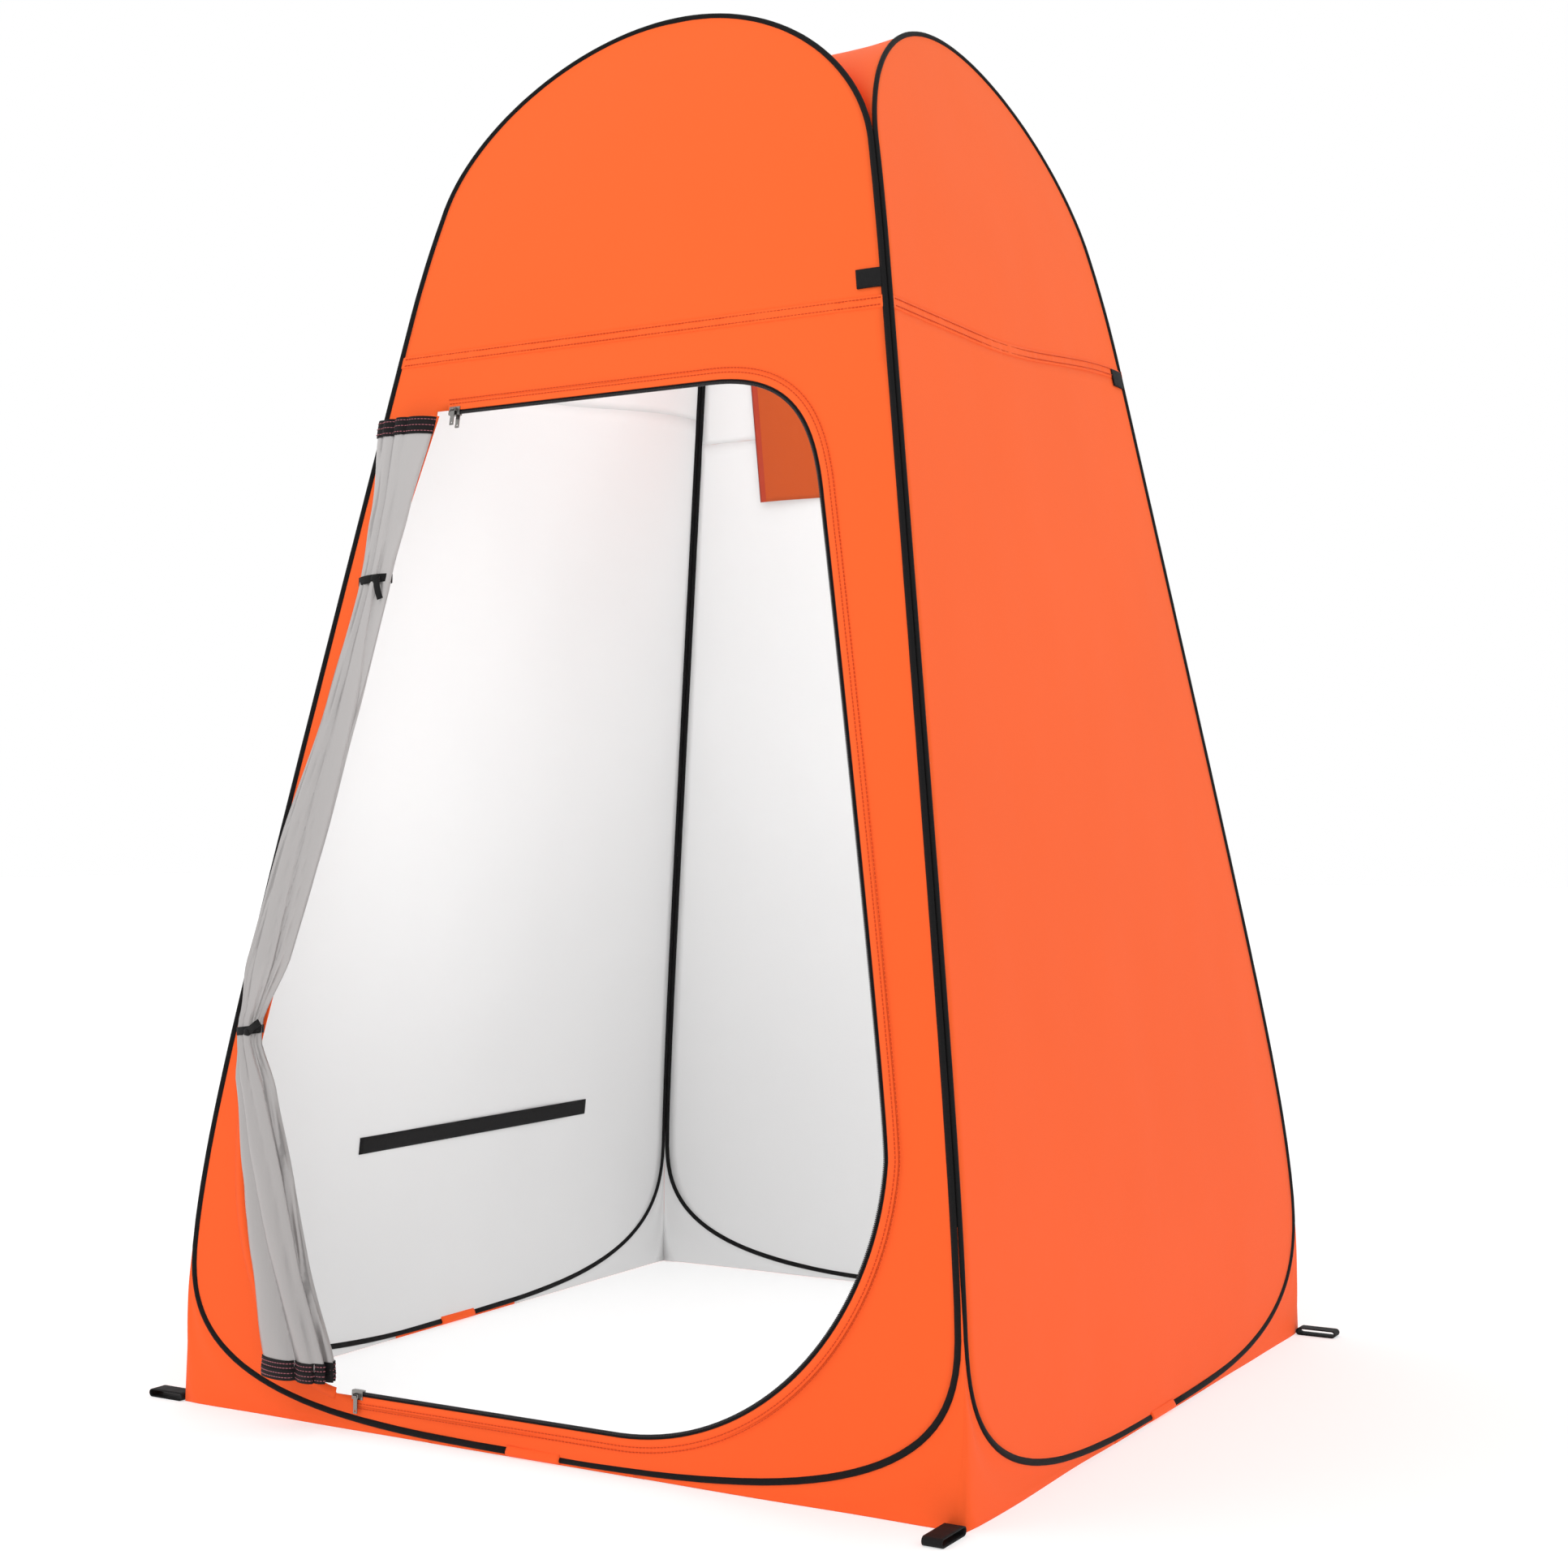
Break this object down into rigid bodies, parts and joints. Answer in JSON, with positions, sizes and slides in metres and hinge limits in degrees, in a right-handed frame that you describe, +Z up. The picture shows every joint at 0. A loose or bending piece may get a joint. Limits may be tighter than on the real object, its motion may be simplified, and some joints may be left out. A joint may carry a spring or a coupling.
{
  "type": "privacy_tent",
  "caption": "Free-standing pop-up privacy shower tent with four arched orange walls on sprung hoops, saddle roof, tied-back zip door and a curtained rear window.",
  "frame": {"origin": "on the ground under the middle of the roof", "axes": "+Z up, -Y towards the door wall, +X to the right as seen from outside the door"},
  "size_m": [1.3154, 1.3154, 1.8997],
  "materials": {
    "orange_cloth": "matte coated polyester, orange",
    "curtain_cloth": "matte polyester, darker orange",
    "silver_coating": "satin silver coating",
    "sleeve_tape": "matte black binding tape",
    "webbing": "matte black webbing",
    "zip_tape": "matte black zip tape",
    "mesh": "fine dark mesh",
    "spring_steel": "bright drawn wire",
    "slider_metal": "plated zinc"
  },
  "bodies": {
    "front_wall": {"hoop_front": "spring_steel", "ferrule_front": "spring_steel", "sleeve_front": "sleeve_tape", "joint_cover_front": "orange_cloth", "wall_lower_front": "orange_cloth", "wall_upper_front": "orange_cloth", "roof_gore_front": "orange_cloth", "zip_tape": "zip_tape", "door_hem": "orange_cloth", "gusset_front_right": "orange_cloth", "gusset_front_left": "orange_cloth", "stake_loop_front_right": "webbing", "stake_loop_front_left": "webbing", "guy_tab_front_right": "webbing", "door_roll": "silver_coating", "door_head_hem": "zip_tape", "door_foot_hem": "zip_tape", "tie_upper": "webbing", "tie_lower": "webbing"},
    "right_wall": {"hoop_right": "spring_steel", "ferrule_right": "spring_steel", "sleeve_right": "sleeve_tape", "joint_cover_right": "orange_cloth", "wall_lower_right": "orange_cloth", "wall_upper_right": "orange_cloth", "roof_gore_right": "orange_cloth", "gusset_back_right": "orange_cloth", "stake_loop_back_right": "webbing", "guy_tab_back_right": "webbing"},
    "back_wall": {"hoop_back": "spring_steel", "ferrule_back": "spring_steel", "sleeve_back": "sleeve_tape", "joint_cover_back": "orange_cloth", "wall_lower_back": "orange_cloth", "wall_upper_back": "orange_cloth", "roof_gore_back": "orange_cloth", "window_mesh": "mesh", "curtain_rail": "curtain_cloth", "gusset_back_left_rear": "orange_cloth", "stake_loop_back_left": "webbing", "guy_tab_back_left": "webbing"},
    "left_wall": {"hoop_left": "spring_steel", "ferrule_left": "spring_steel", "sleeve_left": "sleeve_tape", "joint_cover_left": "orange_cloth", "wall_lower_left": "orange_cloth", "wall_upper_left": "orange_cloth", "roof_gore_left": "orange_cloth", "wall_strap": "webbing", "gusset_back_left_side": "orange_cloth", "guy_tab_front_left": "webbing"},
    "curtain": {"window_curtain": "curtain_cloth"},
    "head_slider": {"zip_slider_head": "slider_metal"},
    "foot_slider": {"zip_slider_foot": "slider_metal"},
    "head_pull_outside": {"zip_pull_head_outside": "slider_metal"},
    "head_pull_inside": {"zip_pull_head_inside": "slider_metal"},
    "foot_pull_outside": {"zip_pull_foot_outside": "slider_metal"},
    "foot_pull_inside": {"zip_pull_foot_inside": "slider_metal"}
  },
  "joints": [
    {"name": "fold", "type": "hinge", "parent": "front_wall", "child": "right_wall", "pos_m": [0.63683, -0.63683, 0], "axis": [0.1666, -0.1666, -0.9719], "range_deg": [0, 78], "deforming": ["gusset_front_right", "roof_gore_front", "roof_gore_right"]},
    {"name": "fold_left", "type": "hinge", "parent": "front_wall", "child": "left_wall", "pos_m": [-0.6, -0.6, 0], "axis": [-0.1628, -0.1628, -0.9731], "range_deg": [0, 78], "deforming": ["gusset_front_left", "roof_gore_left"]},
    {"name": "fold_back", "type": "hinge", "parent": "right_wall", "child": "back_wall", "pos_m": [0.6, 0.6, 0], "axis": [-0.1628, -0.1628, 0.9731], "range_deg": [0, 78], "deforming": ["gusset_back_right", "roof_gore_back"]},
    {"name": "curtain_lift", "type": "hinge", "parent": "back_wall", "child": "curtain", "pos_m": [0, 0.33647, 1.685], "axis": [1, 0, 0], "range_deg": [-85, 0]},
    {"name": "head_slide", "type": "slide", "parent": "front_wall", "child": "head_slider", "axis": [1, 0, 0], "range_m": [0, 0.375]},
    {"name": "foot_slide", "type": "slide", "parent": "front_wall", "child": "foot_slider", "axis": [1, 0, 0], "range_m": [0, 0.375]},
    {"name": "head_pull_outside_swing", "type": "hinge", "parent": "head_slider", "child": "head_pull_outside", "pos_m": [-0.278, -0.41105, 1.36244], "axis": [-1, 0, 0], "range_deg": [0, 110]},
    {"name": "head_pull_inside_swing", "type": "hinge", "parent": "head_slider", "child": "head_pull_inside", "pos_m": [-0.278, -0.39883, 1.36033], "axis": [1, 0, 0], "range_deg": [0, 110]},
    {"name": "foot_pull_outside_swing", "type": "hinge", "parent": "foot_slider", "child": "foot_pull_outside", "pos_m": [-0.283, -0.59959, 0.04675], "axis": [-1, 0, 0], "range_deg": [0, 110]},
    {"name": "foot_pull_inside_swing", "type": "hinge", "parent": "foot_slider", "child": "foot_pull_inside", "pos_m": [-0.283, -0.58719, 0.04645], "axis": [1, 0, 0], "range_deg": [0, 110]}
  ],
  "couplings": [
    {"joint": "fold_left", "follows": "fold", "ratio": 1},
    {"joint": "fold_back", "follows": "fold", "ratio": 1}
  ]
}
